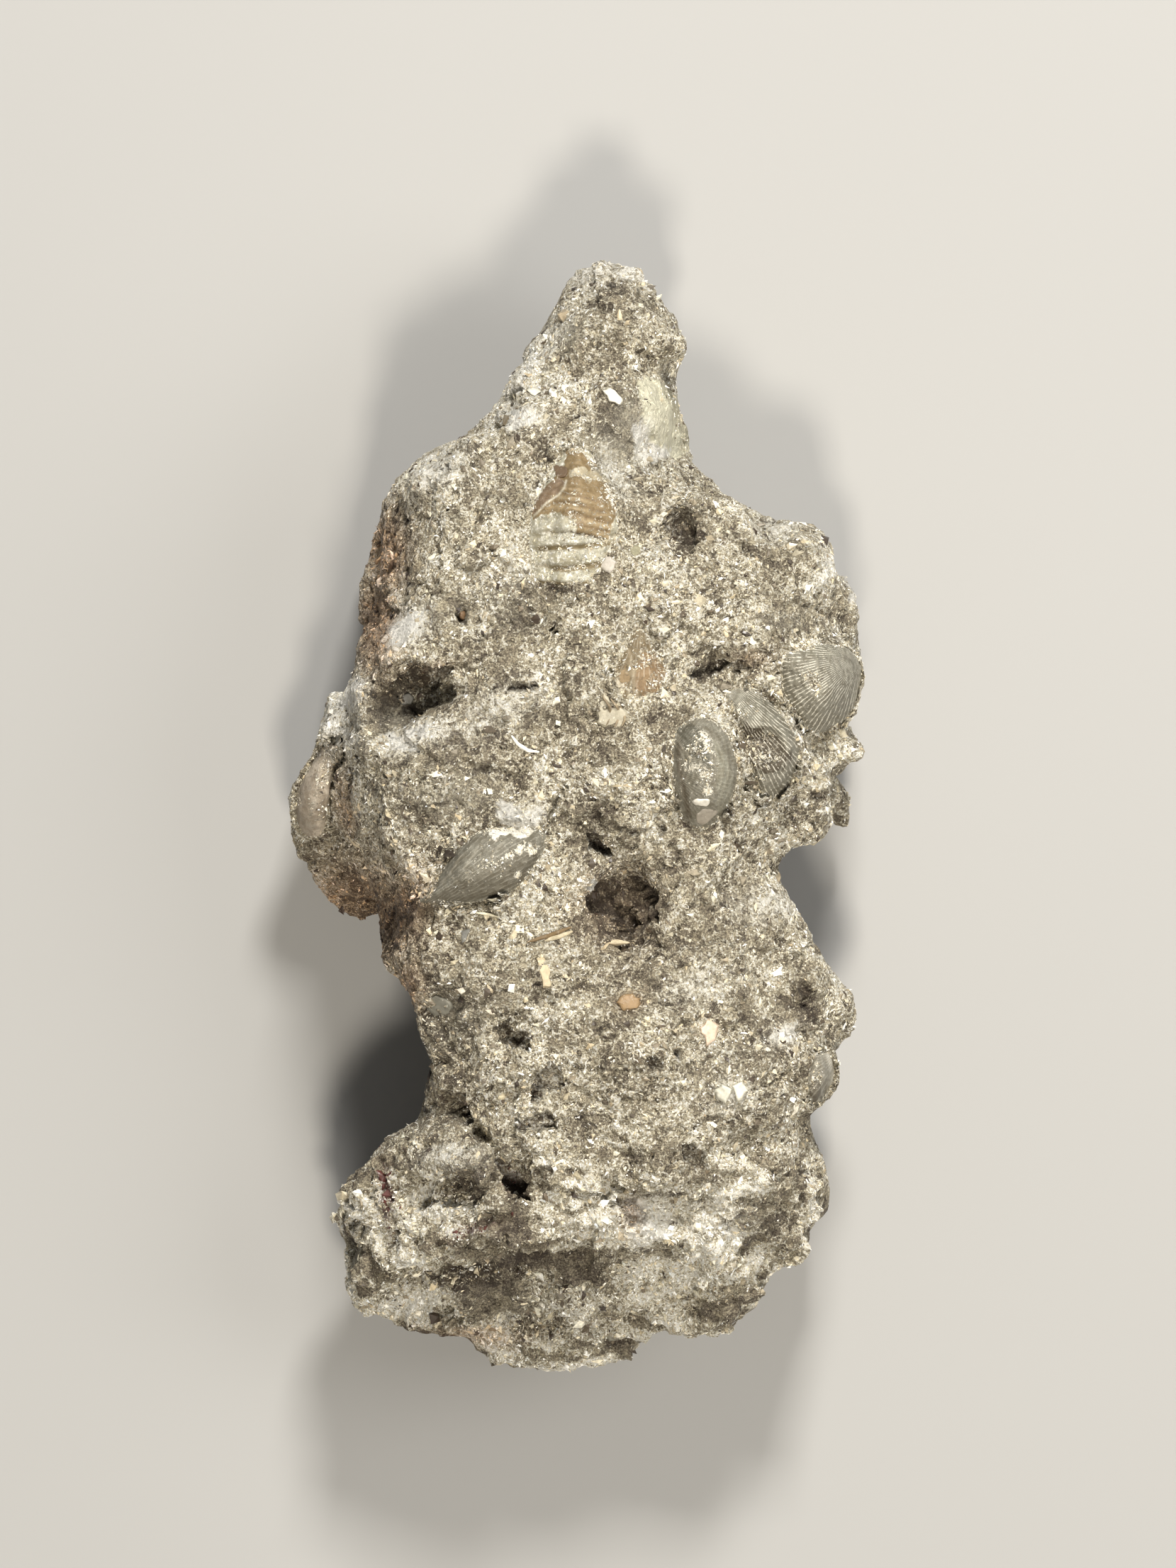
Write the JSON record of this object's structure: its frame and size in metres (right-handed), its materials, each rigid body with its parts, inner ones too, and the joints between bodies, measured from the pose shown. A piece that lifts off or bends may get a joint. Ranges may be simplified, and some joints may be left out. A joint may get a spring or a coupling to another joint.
{
  "type": "trilobite fossil in its limestone matrix",
  "caption": "Rough hand-sized chunk of shelly limestone with a small trilobite's ribbed tail shield, brachiopod valves and shell fragments set in its face.",
  "frame": {"origin": "middle of the specimen's footprint, on the plane it rests on", "axes": "+Y along the length towards the spire, +X to the right of the fossil face, +Z out of the fossil face"},
  "size_m": [0.0478, 0.092, 0.0317],
  "materials": {
    "limestone": "rough, crumbly broken limestone, mottled cream and olive grey",
    "tail_shield": "smooth ribbed shell, tan brown fading to worn white grey",
    "grey_shell": "satin grey shell with fine growth lines and white chips",
    "amber_shell": "slightly glossy amber-brown shell fragment",
    "smooth_shell": "smooth satin grey shell",
    "pale_shell": "satin grey-white shell"
  },
  "bodies": {
    "root": {"limestone_matrix": "limestone", "trilobite_tail_shield": "tail_shield", "brachiopod_lower_left": "grey_shell", "brachiopod_centre": "grey_shell", "brachiopod_centre_right": "grey_shell", "brachiopod_right_edge": "grey_shell", "amber_shell_fragment": "amber_shell", "shell_left_ledge": "smooth_shell", "shell_lower_right_edge": "pale_shell"}
  },
  "joints": []
}
